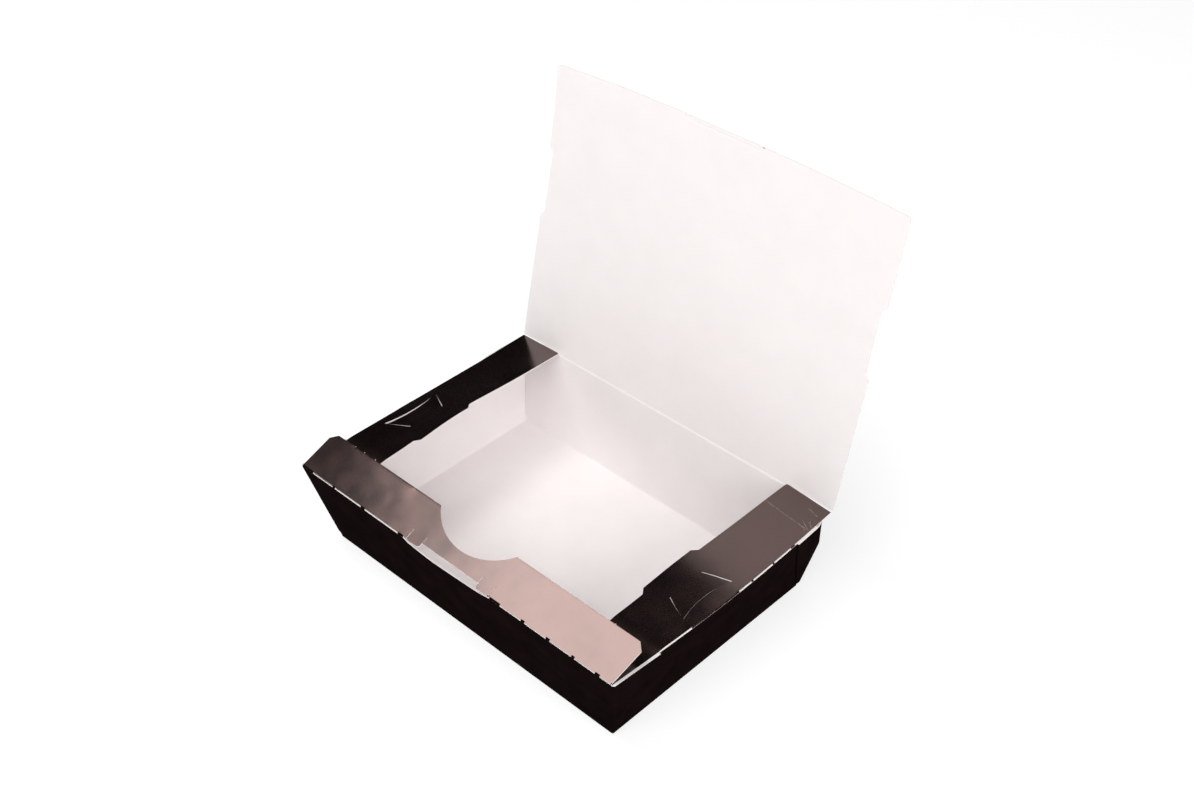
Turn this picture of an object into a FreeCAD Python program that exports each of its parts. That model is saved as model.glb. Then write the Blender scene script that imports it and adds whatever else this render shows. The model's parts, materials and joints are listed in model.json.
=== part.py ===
import FreeCAD, Part
import Sketcher
import math
import os
from types import SimpleNamespace

# A takeaway box folded from one sheet of board, standing open.
#
# Frame: X across the front, Y from front to back, Z up, millimetres. The
# origin is the middle of the underside of the floor. The tray has four walls
# that flare outwards, folded corner webs laid over the two side walls, and two
# side flaps turned in at the rim. The front flap, the lid and the tuck tab at
# the lid's free edge are panels of the same sheet that turn about creases.

Vector = FreeCAD.Vector

# Name, value in millimetres or degrees, and what it is.
SIZES = (
    ("board", 0.45, "thickness of the board"),
    ("crease_air", 0.05, "air between a turning panel and the rim below it"),
    ("crease_out", 0.2, "how far outside the rim the lid and front flap turn"),
    ("slit_width", 0.3, "width of a knife cut"),
    ("rim_width", 214.0, "tray outside, side to side at the rim"),
    ("rim_depth", 154.0, "tray outside, front to back at the rim"),
    ("tray_height", 48.0, "height of the rim"),
    ("side_inset", 10.0, "how far the foot of a side wall lies inside its rim"),
    ("end_inset", 10.5, "the same for the front and back walls"),
    ("corner_bend", 0.8, "radius of the two back corners up to their shoulder"),
    ("corner_shoulder", 30.0, "height from which they widen"),
    ("corner_rim_round", 14.0, "radius that they reach at the rim"),
    ("web_length", 28.0, "length of a corner web along the rim"),
    ("web_layers", 2.0, "layers of board in a folded web"),
    ("side_flap_width", 27.5, "side flap from its crease to its inner edge"),
    ("side_flap_end_air", 0.5, "side flap end to the outside of the front or back wall"),
    ("step_reach", 2.4, "how far the step on a side flap stands in from its edge"),
    ("step_centre", 68.8, "front crease to the middle of that step"),
    ("step_length", 38.5, "length of the step at its foot"),
    ("step_taper", 3.0, "run of each slanted end of the step"),
    ("tongue_centre", 67.5, "front crease to the middle of the side flap tongue"),
    ("tongue_root", 17.0, "side crease to the root of the side flap tongue"),
    ("tongue_root_width", 21.5, "tongue width at its root"),
    ("tongue_tip", 5.3, "side crease to the free corners of the tongue"),
    ("tongue_tip_width", 33.0, "tongue width at its free edge"),
    ("tongue_hollow", 2.2, "how far the free edge of the tongue curves in"),
    ("slot_length", 59.4, "length of the tab slot in the front crease"),
    ("slot_drop", 2.0, "depth of the slot in the front wall"),
    ("slot_taper", 5.0, "run of each slanted end of that drop"),
    ("front_flap_width", 23.4, "front flap from its crease to its free edge"),
    ("front_flap_side_air", 0.6, "front flap end to the outside of the side wall"),
    ("front_flap_tilt", 22.3, "how far the front flap stands up from level, degrees"),
    ("front_flap_bevel", 3.6, "bevel of its two free corners"),
    ("thumb_width", 52.4, "width of the thumb notch at the free edge"),
    ("thumb_depth", 12.7, "depth of the thumb notch"),
    ("recess_width", 38.8, "width of the deep part of the slot in the front flap"),
    ("recess_depth", 2.4, "depth of that part"),
    ("lip_recess", 0.3, "depth of the slot in the front flap beside it"),
    ("lip_width", 9.0, "width of the lip between two slits beside the slot"),
    ("lip_slit_end", 6.5, "front crease to the end of those slits"),
    ("lid_length", 155.0, "lid from its crease to its free corners"),
    ("lid_lean", 13.65, "how far the lid leans back from upright, degrees"),
    ("lid_root_side", 0.3, "how far the lid stands out past the rim at its crease"),
    ("lid_free_side", 2.0, "the same at its free corners"),
    ("lid_bow", 2.4, "how far the free edge bows out in its middle"),
    ("lid_round", 2.0, "radius of the free corners"),
    ("notch_start", 72.0, "lid crease to the start of the side notch"),
    ("notch_length", 36.0, "length of the side notch"),
    ("notch_depth", 2.5, "depth of the side notch"),
    ("notch_slant", 3.0, "run of the slanted end of the notch"),
    ("notch_round", 2.2, "radius of the outer corner at its other end"),
    ("tab_recess", 0.9, "how far the tab crease lies inside the free edge"),
    ("tab_cut_width", 49.0, "width of the recess for the tuck tab"),
    ("tab_fold_room", 0.6, "recess edge to the line the tab turns about"),
    ("tab_width", 46.0, "tuck tab at its crease"),
    ("tab_neck", 5.0, "length of the tab before it narrows"),
    ("tab_length", 13.0, "tuck tab from its crease to its tip"),
    ("tab_tip_width", 30.0, "width of its tip"),
    ("tab_round", 2.5, "radius of its tip corners"),
    ("tab_fold", 115.0, "how far the tab is folded back from the lid, degrees"),
)

# How far a cut's outline runs past the board it cuts.
OVERRUN = 1.0

# A corner to be rounded is found this near to where the sizes put it.
NEAR = 0.02


class Size:
    """A number together with the sheet formula that gives it."""

    def __init__(self, value, formula):
        self.value = value
        self.formula = formula

    def joined(self, sign, other, value):
        return Size(value, f"({self.formula} {sign} {as_size(other).formula})")

    def __add__(self, other):
        return self.joined("+", other, self.value + as_size(other).value)

    def __sub__(self, other):
        return self.joined("-", other, self.value - as_size(other).value)

    def __mul__(self, other):
        return self.joined("*", other, self.value * as_size(other).value)

    def __truediv__(self, other):
        return self.joined("/", other, self.value / as_size(other).value)

    def __rsub__(self, other):
        return as_size(other) - self

    def __neg__(self):
        return self * -1.0


def as_size(number):
    return number if isinstance(number, Size) else Size(number, repr(float(number)))


def hypotenuse(run, rise):
    """The slanted length over a run and a rise."""
    formula = f"sqrt({run.formula} ^ 2 + {rise.formula} ^ 2)"
    return Size(math.hypot(run.value, rise.value), formula)


def lean_angle(run, rise):
    """The angle from upright of a slope, in degrees."""
    return Size(math.degrees(math.atan2(run.value, rise.value)), f"atan({run.formula} / {rise.formula})")


def bow_radius(chord, bow):
    """The radius of an arc over a chord that stands out by bow."""
    return (chord * chord / 4.0 + bow * bow) / (bow * 2.0)


def make_sheet(document):
    """Put every size on the sheet, and return them by name."""
    sheet = document.addObject("Spreadsheet::Sheet", "Sizes")
    sizes = {}
    for row, (name, value, meaning) in enumerate(SIZES, start=1):
        sheet.set(f"A{row}", meaning)
        sheet.set(f"B{row}", str(value))
        sheet.setAlias(f"B{row}", name)
        sizes[name] = Size(value, f"Sizes.{name}")
    document.recompute()
    return SimpleNamespace(**sizes)


def new_body(document, label):
    body = document.addObject("PartDesign::Body", label)
    body.Label = label
    return body


def origin_plane(body, role):
    for item in body.Origin.OriginFeatures:
        if item.Role == role:
            return item
    raise ValueError(f"no plane {role}")


def new_sketch(body, name, role="XY_Plane", level=None, tilt=None):
    """A sketch on an origin plane, raised by level and tilted about its own X."""
    sketch = body.newObject("Sketcher::SketchObject", name)
    sketch.AttachmentSupport = (origin_plane(body, role), "")
    sketch.MapMode = "FlatFace"
    if tilt is not None:
        turn = FreeCAD.Rotation(Vector(1, 0, 0), tilt.value)
        sketch.AttachmentOffset = FreeCAD.Placement(Vector(), turn)
        sketch.setExpression("AttachmentOffset.Rotation.Angle", tilt.formula)
    if level is not None:
        sketch.setExpression("AttachmentOffset.Base.z", level.formula)
    return sketch


def hold_point(sketch, edge, end, corner):
    """Tie one end of an edge to a point given by two sizes."""
    for kind, size in zip(("DistanceX", "DistanceY"), corner):
        index = sketch.addConstraint(Sketcher.Constraint(kind, -1, 1, edge, end, size.value))
        sketch.setExpression(f"Constraints[{index}]", size.formula)


def flat_arc(start, end, radius, turn):
    """The short arc from start to end that turns left (1) or right (-1)."""
    chord = end - start
    left = Vector(-chord.y, chord.x, 0).normalize()
    reach = math.sqrt(radius ** 2 - chord.Length ** 2 / 4)
    centre = (start + end) / 2 + left * (turn * reach)
    first, last = (start, end) if turn > 0 else (end, start)
    angles = [math.atan2(point.y - centre.y, point.x - centre.x) for point in (first, last)]
    if angles[1] < angles[0]:
        angles[1] += 2 * math.pi
    circle = Part.Circle(centre, Vector(0, 0, 1), radius)
    return Part.ArcOfCircle(circle, angles[0], angles[1])


def draw_outline(sketch, corners, arcs=None):
    """Draw a closed outline through corners, each a pair of sizes.

    arcs maps the number of an edge to (radius, turn). A sketch keeps each arc
    anticlockwise, so an edge that turns right has its two ends swapped.
    """
    arcs = arcs or {}
    corners = [tuple(as_size(number) for number in corner) for corner in corners]
    points = [Vector(x.value, y.value, 0) for x, y in corners]
    first = sketch.GeometryCount
    ends = []
    for number, start in enumerate(points):
        end = points[(number + 1) % len(points)]
        radius, turn = arcs.get(number, (None, 1))
        if radius is None:
            sketch.addGeometry(Part.LineSegment(start, end), False)
        else:
            edge = sketch.addGeometry(flat_arc(start, end, radius.value, turn), False)
            index = sketch.addConstraint(Sketcher.Constraint("Radius", edge, radius.value))
            sketch.setExpression(f"Constraints[{index}]", radius.formula)
        ends.append((1, 2) if turn > 0 else (2, 1))
    for number, corner in enumerate(corners):
        after = (number + 1) % len(corners)
        joint = (first + number, ends[number][1], first + after, ends[after][0])
        sketch.addConstraint(Sketcher.Constraint("Coincident", *joint))
        hold_point(sketch, first + number, ends[number][0], corner)


def draw_circle(sketch, centre, radius):
    circle = Part.Circle(Vector(centre[0].value, centre[1].value, 0), Vector(0, 0, 1), radius.value)
    edge = sketch.addGeometry(circle, False)
    hold_point(sketch, edge, 3, centre)
    index = sketch.addConstraint(Sketcher.Constraint("Radius", edge, radius.value))
    sketch.setExpression(f"Constraints[{index}]", radius.formula)


def rectangle(left, right, low, high):
    return [(left, low), (right, low), (right, high), (left, high)]


def pad(body, name, sketch, thickness, centred=False):
    feature = body.newObject("PartDesign::Pad", name)
    feature.Profile = sketch
    feature.setExpression("Length", thickness.formula)
    feature.Midplane = centred
    sketch.Document.recompute()
    return feature


def cut(body, name, sketch, depth, centred=False):
    """Cut the sketch into the body, and make sure that it took something away."""
    before = body.Shape.Volume
    feature = body.newObject("PartDesign::Pocket", name)
    feature.Profile = sketch
    feature.setExpression("Length", depth.formula)
    feature.Midplane = centred
    sketch.Document.recompute()
    if body.Shape.Volume >= before:
        raise RuntimeError(f"{name} cuts nothing")
    return feature


def round_corners(body, name, radius, corners):
    """Round the edges through the board at corners of the panel's outline."""
    base = body.Tip
    wanted = [Vector(x.value, y.value, 0) for x, y in corners]
    names = []
    for number, edge in enumerate(base.Shape.Edges, start=1):
        start, end = edge.Vertexes[0].Point, edge.Vertexes[-1].Point
        upright = abs(start.x - end.x) < NEAR and abs(start.y - end.y) < NEAR
        place = Vector(start.x, start.y, 0)
        if upright and any(place.distanceToPoint(point) < NEAR for point in wanted):
            names.append(f"Edge{number}")
    if len(names) != len(corners):
        raise RuntimeError(f"{name} found {len(names)} of {len(corners)} corners")
    feature = body.newObject("PartDesign::Fillet", name)
    feature.Base = (base, names)
    feature.setExpression("Radius", radius.formula)
    body.Document.recompute()


def mirrored_pair(corners):
    """Corners in the right half, followed by their mirror images from the far end back."""
    return corners + [(-x, y) for x, y in reversed(corners)]


def wall_line(sizes, height):
    """Half the tray's width and half its depth at a height."""
    share = 1.0 - height / sizes.tray_height
    half_width = sizes.rim_width / 2 - sizes.side_inset * share
    half_depth = sizes.rim_depth / 2 - sizes.end_inset * share
    return half_width, half_depth


def wall_sketch(body, sizes, name, height, radius, skin=False):
    """The tray's outline at a height, with round back corners, less a skin of board."""
    half_width, half_depth = wall_line(sizes, height)
    if skin:
        half_width = half_width - level_skin(sizes, sizes.side_inset)
        half_depth = half_depth - level_skin(sizes, sizes.end_inset)
        radius = radius - sizes.board
    sketch = new_sketch(body, name, level=height)
    draw_outline(sketch, [
        (-half_width, -half_depth),
        (half_width, -half_depth),
        (half_width, half_depth - radius),
        (half_width - radius, half_depth),
        (radius - half_width, half_depth),
        (-half_width, half_depth - radius),
    ], {2: (radius, 1), 4: (radius, 1)})
    return sketch


def level_skin(sizes, inset):
    """The thickness of a leaning wall, measured level."""
    return sizes.board * hypotenuse(inset, sizes.tray_height) / sizes.tray_height


def add_tray_shell(body, sizes):
    """The flared outside, less the hollow that leaves a floor and four walls."""
    bend, shoulder, rim = sizes.corner_bend, sizes.corner_shoulder, sizes.tray_height
    add_loft(body, "AdditiveLoft", "outside", [
        wall_sketch(body, sizes, "foot_outline", as_size(0.0), bend),
        wall_sketch(body, sizes, "shoulder_outline", shoulder, bend),
        wall_sketch(body, sizes, "rim_outline", rim, sizes.corner_rim_round),
    ])
    full = body.Shape.Volume
    add_loft(body, "SubtractiveLoft", "hollow", [
        wall_sketch(body, sizes, "floor_outline", sizes.board, bend, skin=True),
        wall_sketch(body, sizes, "inner_shoulder_outline", shoulder, bend, skin=True),
        wall_sketch(body, sizes, "mouth_outline", rim, sizes.corner_rim_round, skin=True),
    ])
    if body.Shape.Volume >= full:
        raise RuntimeError("the tray is not hollow")


def add_loft(body, kind, name, sketches):
    feature = body.newObject(f"PartDesign::{kind}", name)
    feature.Profile = sketches[0]
    feature.Sections = sketches[1:]
    feature.Ruled = True
    body.Document.recompute()


def add_webs(body, sizes):
    """Both webs of the right wall, folded and laid flat on its outside.

    Each starts just far enough up the wall to stay above the underside of the
    floor. The back one ends where the round of its corner begins.
    """
    slope = hypotenuse(sizes.side_inset, sizes.tray_height)
    tilt = lean_angle(sizes.side_inset, sizes.tray_height)
    sketch = new_sketch(body, "web_outlines", "YZ_Plane", sizes.rim_width / 2 - sizes.side_inset, tilt)
    thickness = sizes.board * sizes.web_layers
    start = thickness * sizes.side_inset / sizes.tray_height
    rim_end = sizes.rim_depth / 2
    foot_end = rim_end - sizes.end_inset + sizes.end_inset * start / slope
    inner_end = rim_end - sizes.web_length
    shoulder_end = wall_line(sizes, sizes.corner_shoulder)[1]
    draw_outline(sketch, [(-foot_end, start), (-inner_end, slope), (-rim_end, slope)])
    draw_outline(sketch, [
        (foot_end - sizes.corner_bend, start),
        (shoulder_end - sizes.corner_bend, slope * sizes.corner_shoulder / sizes.tray_height),
        (rim_end - sizes.corner_rim_round, slope),
        (inner_end, slope),
    ])
    return pad(body, "webs", sketch, thickness)


def add_side_flap(body, sizes):
    """The right side flap, level with the rim, with the step on its inner edge."""
    crease = sizes.rim_width / 2
    end = sizes.rim_depth / 2 - sizes.side_flap_end_air
    edge = crease - sizes.side_flap_width
    middle = sizes.step_centre - sizes.rim_depth / 2
    step = sizes.step_length / 2
    outer = crease - sizes.board / 2
    sketch = new_sketch(body, "side_flap_outline", level=sizes.tray_height - sizes.board)
    draw_outline(sketch, [
        (outer, -end),
        (outer, end),
        (edge, end),
        (edge, middle + step),
        (edge - sizes.step_reach, middle + step - sizes.step_taper),
        (edge - sizes.step_reach, middle - step + sizes.step_taper),
        (edge, middle - step),
        (edge, -end),
    ])
    return pad(body, "side_flap", sketch, sizes.board)


def cut_tongue(body, sizes):
    """The knife cut round three sides of the dovetail tongue in the right side flap."""
    crease = sizes.rim_width / 2
    middle = sizes.tongue_centre - sizes.rim_depth / 2
    root = crease - sizes.tongue_root
    tip = crease - sizes.tongue_tip
    half_root = sizes.tongue_root_width / 2
    half_tip = sizes.tongue_tip_width / 2
    slit = sizes.slit_width
    radius = bow_radius(sizes.tongue_tip_width, sizes.tongue_hollow)
    outer_radius = bow_radius(sizes.tongue_tip_width + slit * 2.0, sizes.tongue_hollow)
    sketch = new_sketch(body, "tongue_cut", level=sizes.tray_height + OVERRUN)
    draw_outline(sketch, [
        (root, middle - half_root - slit),
        (tip + slit, middle - half_tip - slit),
        (tip + slit, middle + half_tip + slit),
        (root, middle + half_root + slit),
        (root, middle + half_root),
        (tip, middle + half_tip),
        (tip, middle - half_tip),
        (root, middle - half_root),
    ], {1: (outer_radius, -1), 5: (radius, 1)})
    return cut(body, "tongue_slit", sketch, sizes.board * 2.0 + OVERRUN)


def cut_wall_slot(body, sizes):
    """The slot's drop in the top of the front wall."""
    half = sizes.slot_length / 2
    low = sizes.tray_height - sizes.slot_drop
    high = sizes.tray_height + OVERRUN
    sketch = new_sketch(body, "wall_slot_outline", "XZ_Plane", sizes.rim_depth / 2 + OVERRUN)
    draw_outline(sketch, [
        (-half, sizes.tray_height),
        (-half + sizes.slot_taper, low),
        (half - sizes.slot_taper, low),
        (half, sizes.tray_height),
        (half, high),
        (-half, high),
    ])
    lean = sizes.end_inset * sizes.slot_drop / sizes.tray_height
    cut(body, "wall_slot", sketch, lean + level_skin(sizes, sizes.end_inset) * 2.0 + OVERRUN)


def mirror_sides(body, features):
    """Repeat the right side's features on the left."""
    mirror = body.newObject("PartDesign::Mirrored", "left_side")
    mirror.Originals = features
    mirror.MirrorPlane = (origin_plane(body, "YZ_Plane"), [""])
    body.Tip = mirror
    body.Document.recompute()


def build_tray(document, sizes):
    body = new_body(document, "tray")
    add_tray_shell(body, sizes)
    webs = add_webs(body, sizes)
    flap = add_side_flap(body, sizes)
    tongue = cut_tongue(body, sizes)
    mirror_sides(body, [webs, flap, tongue])
    cut_wall_slot(body, sizes)
    return body


def turn_panel(body, hinge, angle):
    """Place a flat panel: its crease at hinge (Y and Z sizes), turned up from level."""
    body.Placement = FreeCAD.Placement(Vector(), FreeCAD.Rotation(Vector(1, 0, 0), angle.value))
    body.setExpression("Placement.Rotation.Angle", angle.formula)
    body.setExpression("Placement.Base.y", hinge[0].formula)
    body.setExpression("Placement.Base.z", hinge[1].formula)


def crease_height(sizes):
    """The height of the lines that the lid and the front flap turn about."""
    return sizes.tray_height + sizes.board / 2 + sizes.crease_air


def crease_reach(sizes):
    """The distance of those two lines from the middle of the tray, in Y."""
    return sizes.rim_depth / 2 + sizes.crease_out


def build_front_flap(document, sizes):
    """The front flap, drawn flat with its crease on the X axis and its free edge at +Y."""
    body = new_body(document, "front_flap")
    half = sizes.rim_width / 2 - sizes.front_flap_side_air
    free = sizes.front_flap_width
    bevel = sizes.front_flap_bevel
    sketch = new_sketch(body, "front_flap_outline")
    draw_outline(sketch, mirrored_pair([(half, as_size(0.0)), (half, free - bevel), (half - bevel, free)]))
    pad(body, "front_flap_board", sketch, sizes.board, centred=True)
    cut_thumb_notch(body, sizes)
    cut_flap_slot(body, sizes)
    turn_panel(body, (-crease_reach(sizes), crease_height(sizes)), sizes.front_flap_tilt)
    return body


def cut_thumb_notch(body, sizes):
    radius = bow_radius(sizes.thumb_width, sizes.thumb_depth)
    centre = (as_size(0.0), sizes.front_flap_width - sizes.thumb_depth + radius)
    sketch = new_sketch(body, "thumb_notch_outline")
    draw_circle(sketch, centre, radius)
    cut(body, "thumb_notch", sketch, sizes.board * 2.0, centred=True)


def cut_flap_slot(body, sizes):
    """The front flap's side of the slot, with a slit on each side of its two lips."""
    half = sizes.slot_length / 2
    deep = sizes.recess_width / 2
    edge = as_size(-OVERRUN)
    recess = new_sketch(body, "flap_slot_outline")
    draw_outline(recess, mirrored_pair([
        (half, edge),
        (half, sizes.lip_recess),
        (deep, sizes.lip_recess),
        (deep, sizes.recess_depth),
    ]))
    cut(body, "flap_slot", recess, sizes.board * 2.0, centred=True)
    slits = new_sketch(body, "lip_slit_outlines")
    for side in (1.0, -1.0):
        for inner in (deep, deep + sizes.lip_width):
            centre = inner * side
            left = centre - sizes.slit_width / 2
            right = centre + sizes.slit_width / 2
            draw_outline(slits, rectangle(left, right, edge, sizes.lip_slit_end))
    cut(body, "lip_slits", slits, sizes.board * 2.0, centred=True)


def lid_edge(sizes, along):
    """Half the lid's width at a distance along it from its crease."""
    flare = sizes.lid_free_side - sizes.lid_root_side
    return sizes.rim_width / 2 + sizes.lid_root_side + flare * along / sizes.lid_length


def tab_crease(sizes):
    """The distance along the lid of the recess edge that the tuck tab is folded at."""
    return sizes.lid_length + sizes.lid_bow - sizes.tab_recess


def build_lid(document, sizes):
    """The lid, drawn flat with its crease on the X axis and its free edge at +Y."""
    body = new_body(document, "lid")
    root = lid_edge(sizes, as_size(0.0))
    free = lid_edge(sizes, sizes.lid_length)
    sketch = new_sketch(body, "lid_outline")
    corners = [(-root, 0.0), (root, 0.0), (free, sizes.lid_length), (-free, sizes.lid_length)]
    draw_outline(sketch, corners, {2: (bow_radius(free * 2.0, sizes.lid_bow), 1)})
    pad(body, "lid_board", sketch, sizes.board, centred=True)
    round_corners(body, "lid_corners", sizes.lid_round, [corners[2], corners[3]])
    cut_lid_notches(body, sizes)
    cut_tab_recess(body, sizes)
    turn_panel(body, (crease_reach(sizes), crease_height(sizes)), 90.0 - sizes.lid_lean)
    return body


def cut_lid_notches(body, sizes):
    """The shallow notch in each side edge of the lid."""
    start = sizes.notch_start
    end = start + sizes.notch_length
    middle = lid_edge(sizes, start + sizes.notch_length / 2)
    inner = middle - sizes.notch_depth
    outer = middle + OVERRUN
    sketch = new_sketch(body, "notch_outlines")
    right = [(outer, start), (outer, end), (inner, end), (inner, start + sizes.notch_slant)]
    draw_outline(sketch, right)
    draw_outline(sketch, [(-x, y) for x, y in right])
    cut(body, "side_notches", sketch, sizes.board * 2.0, centred=True)
    shoulder = lid_edge(sizes, end)
    round_corners(body, "notch_corners", sizes.notch_round, [(shoulder, end), (-shoulder, end)])


def cut_tab_recess(body, sizes):
    half = sizes.tab_cut_width / 2
    far = sizes.lid_length + sizes.lid_bow + OVERRUN
    sketch = new_sketch(body, "tab_recess_outline")
    draw_outline(sketch, rectangle(-half, half, tab_crease(sizes), far))
    cut(body, "tab_recess", sketch, sizes.board * 2.0, centred=True)


def build_tuck_tab(document, sizes):
    """The tuck tab, folded back behind the lid about a line just past the recess edge."""
    body = new_body(document, "tuck_tab")
    half = sizes.tab_width / 2
    tip = sizes.tab_tip_width / 2
    sketch = new_sketch(body, "tuck_tab_outline")
    right = [(half, as_size(0.0)), (half, sizes.tab_neck), (tip, sizes.tab_length)]
    draw_outline(sketch, mirrored_pair(right))
    pad(body, "tuck_tab_board", sketch, sizes.board, centred=True)
    tips = [(tip, sizes.tab_length), (-tip, sizes.tab_length)]
    round_corners(body, "tuck_tab_corners", sizes.tab_round, tips)
    reach = tab_crease(sizes) + sizes.tab_fold_room
    hinge_y = crease_reach(sizes) + reach * sine(sizes.lid_lean)
    hinge_z = crease_height(sizes) + reach * cosine(sizes.lid_lean)
    turn_panel(body, (hinge_y, hinge_z), 90.0 - sizes.lid_lean - sizes.tab_fold)
    return body


def sine(angle):
    return Size(math.sin(math.radians(angle.value)), f"sin({angle.formula} * 1 deg)")


def cosine(angle):
    return Size(math.cos(math.radians(angle.value)), f"cos({angle.formula} * 1 deg)")


def check_document(document, bodies):
    """Stop on a failed object, or a sub-part that is not one sound solid."""
    for item in document.Objects:
        if "Invalid" in item.State or "Error" in item.State:
            raise RuntimeError(f"{item.Name} failed: {item.State}")
    for body in bodies:
        shape = body.Shape
        if shape.isNull() or not shape.isValid() or len(shape.Solids) != 1:
            raise RuntimeError(f"{body.Label} is not one sound solid")


def main():
    document = FreeCAD.newDocument("takeaway_box")
    sizes = make_sheet(document)
    bodies = [
        build_tray(document, sizes),
        build_front_flap(document, sizes),
        build_lid(document, sizes),
        build_tuck_tab(document, sizes),
    ]
    document.recompute()
    check_document(document, bodies)
    os.makedirs("parts", exist_ok=True)
    for body in bodies:
        body.Shape.exportStep(f"parts/{body.Label}.step")
        print(f"{body.Label}: {body.Shape.Volume:.1f} mm3, placed at {body.Placement.Base}")


main()
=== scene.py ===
import json
import math

import bpy
import numpy as np
from mathutils import Matrix, Vector
from mathutils.geometry import delaunay_2d_cdt


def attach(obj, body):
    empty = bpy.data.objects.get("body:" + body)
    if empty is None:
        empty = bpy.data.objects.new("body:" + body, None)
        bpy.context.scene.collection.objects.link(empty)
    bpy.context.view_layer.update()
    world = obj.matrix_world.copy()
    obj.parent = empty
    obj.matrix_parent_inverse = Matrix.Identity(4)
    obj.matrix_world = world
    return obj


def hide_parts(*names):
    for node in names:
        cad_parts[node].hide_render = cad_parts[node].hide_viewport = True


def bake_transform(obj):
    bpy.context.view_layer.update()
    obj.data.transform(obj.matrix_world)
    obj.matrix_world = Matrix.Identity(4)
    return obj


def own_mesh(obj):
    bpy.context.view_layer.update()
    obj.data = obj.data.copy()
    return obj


# A takeaway box folded from one sheet of board, black and varnished outside,
# white inside and at its cut edges. It stands open on a pale floor.
#
# Lengths here are millimetres. Meshes are made in metres, in the part's frame:
# X across the front, Y from front to back, Z up.

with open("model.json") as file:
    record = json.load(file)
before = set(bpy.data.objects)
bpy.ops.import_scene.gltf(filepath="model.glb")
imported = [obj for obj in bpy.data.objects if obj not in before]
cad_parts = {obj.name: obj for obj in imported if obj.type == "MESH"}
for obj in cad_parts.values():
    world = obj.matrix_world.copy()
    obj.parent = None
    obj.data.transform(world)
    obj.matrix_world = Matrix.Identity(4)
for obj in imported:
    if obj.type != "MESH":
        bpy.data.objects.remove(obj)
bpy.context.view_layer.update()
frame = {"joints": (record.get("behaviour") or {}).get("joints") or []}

MM = 0.001

# The board and the tray.
BOARD = 0.45
RIM_X = 107.0
RIM_Y = 77.0
RIM_Z = 48.0
SIDE_INSET = 10.0
END_INSET = 10.5
FOLD_RADIUS = 0.6

# The walls' waves: how far they stand out, how fast they run along X, Y and Z,
# and where they die out towards the corners.
WALL_BULGE = 0.35
BULGE_LEAST = 0.5
BULGE_WAVE = 0.6
BULGE_RATES = (0.045, 0.06, 0.05)
SIDE_BULGE_HALF = 45.0
END_BULGE_AIR = 9.0

# The corner webs, seen from above. A web starts near the foot, where it is
# WEB_START long, and has its full section when it is WEB_GROWTH longer. In
# between its board is pinched.
WEB_LENGTH = 28.0
WEB_LEAST = 0.3
WEB_START = 0.7
WEB_GROWTH = 1.8
WEB_PINCH = 0.7
LAYER_STEP = 0.5
WRAP_RADIUS = 0.95
CORNER_GAP = 0.8

# The two back corners widen from a shoulder up to the rim.
SHOULDER = 30.0
RIM_ROUND = 14.0
CORNER_SLACK = 1.2

# How far the front left corner has spread outwards, and how far the right wall's
# rim bows out in its middle. The bow takes the flap's outer part along.
LEFT_SPREAD = 1.2
RIGHT_BOW = 2.8
BOW_START = 95.0

# Side flaps. The root lies lower where the crease is whole than where it is cut.
# The fold round the rim clears the board, and may turn a little past a quarter.
SIDE_WIDTH = 27.5
SIDE_END = 76.4
SIDE_ROUND = 1.2
SIDE_CREASED_ROOT = -0.46
SIDE_CUT_ROOT = 0.02
SIDE_FOLD_AIR = 0.03
SIDE_FOLD_PAST = 0.2

# How the side flaps stand up in degrees, their waves, and how their front ends
# have sunk, where the front flap goes down over them.
RIGHT_TILT = 4.4
TILT_FRONT = 0.3
TILT_START = -45.0
TILT_LENGTH = 45.0
SIDE_WAVE = (0.12, 0.11, 0.8)
SINK = 1.0
SINK_START = -44.0
SINK_END = -53.8
LEFT_TILT = 3.0
HUMP = 4.7
HUMP_PLACE = 2.0
HUMP_LENGTH = 42.0
BACK_RISE = 0.7
BACK_START = 40.0
BACK_LENGTH = 36.0

# The step in the side flaps' free edge, and the tongue cut in each.
STEP_CENTRE = 68.8 - RIM_Y
STEP_REACH = 2.4
STEP_LENGTH = 38.5
STEP_TAPER = 3.0
STEP_ROUND = 0.8
TONGUE_CENTRE = 67.5 - RIM_Y
TONGUE_ROOT = 17.0
TONGUE_ROOT_WIDTH = 21.5
TONGUE_TIP = 5.3
TONGUE_TIP_WIDTH = 33.0
TONGUE_HOLLOW = 2.2
TONGUE_DROP = 0.45
LEFT_TONGUE_DROP = 0.35
LEFT_TONGUE_RISE = 0.7
KNIFE_SLIT = 0.3
LEFT_SLIT_FRONT = 1.0
LEFT_SLIT_BACK = 0.4

# A crack across the back of the right flap, and scratches beside it, each from
# one (y, v) to another.
CRACK = ((59.6, 28.0), (58.6, 0.5))
SCRATCHES = (((70.4, 7.6), (69.3, 3.2)), ((61.6, 5.4), (58.8, 1.2)),
             ((63.2, 2.8), (61.0, 0.9)), ((58.9, 4.0), (57.4, 2.0)))
CRACK_HALF = 0.3
CRACK_DEPTH = 0.04
CRACK_STEP = 0.8
CRACK_ROWS = (-0.7, -0.3, 0.0, 0.3, 0.7)

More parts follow.
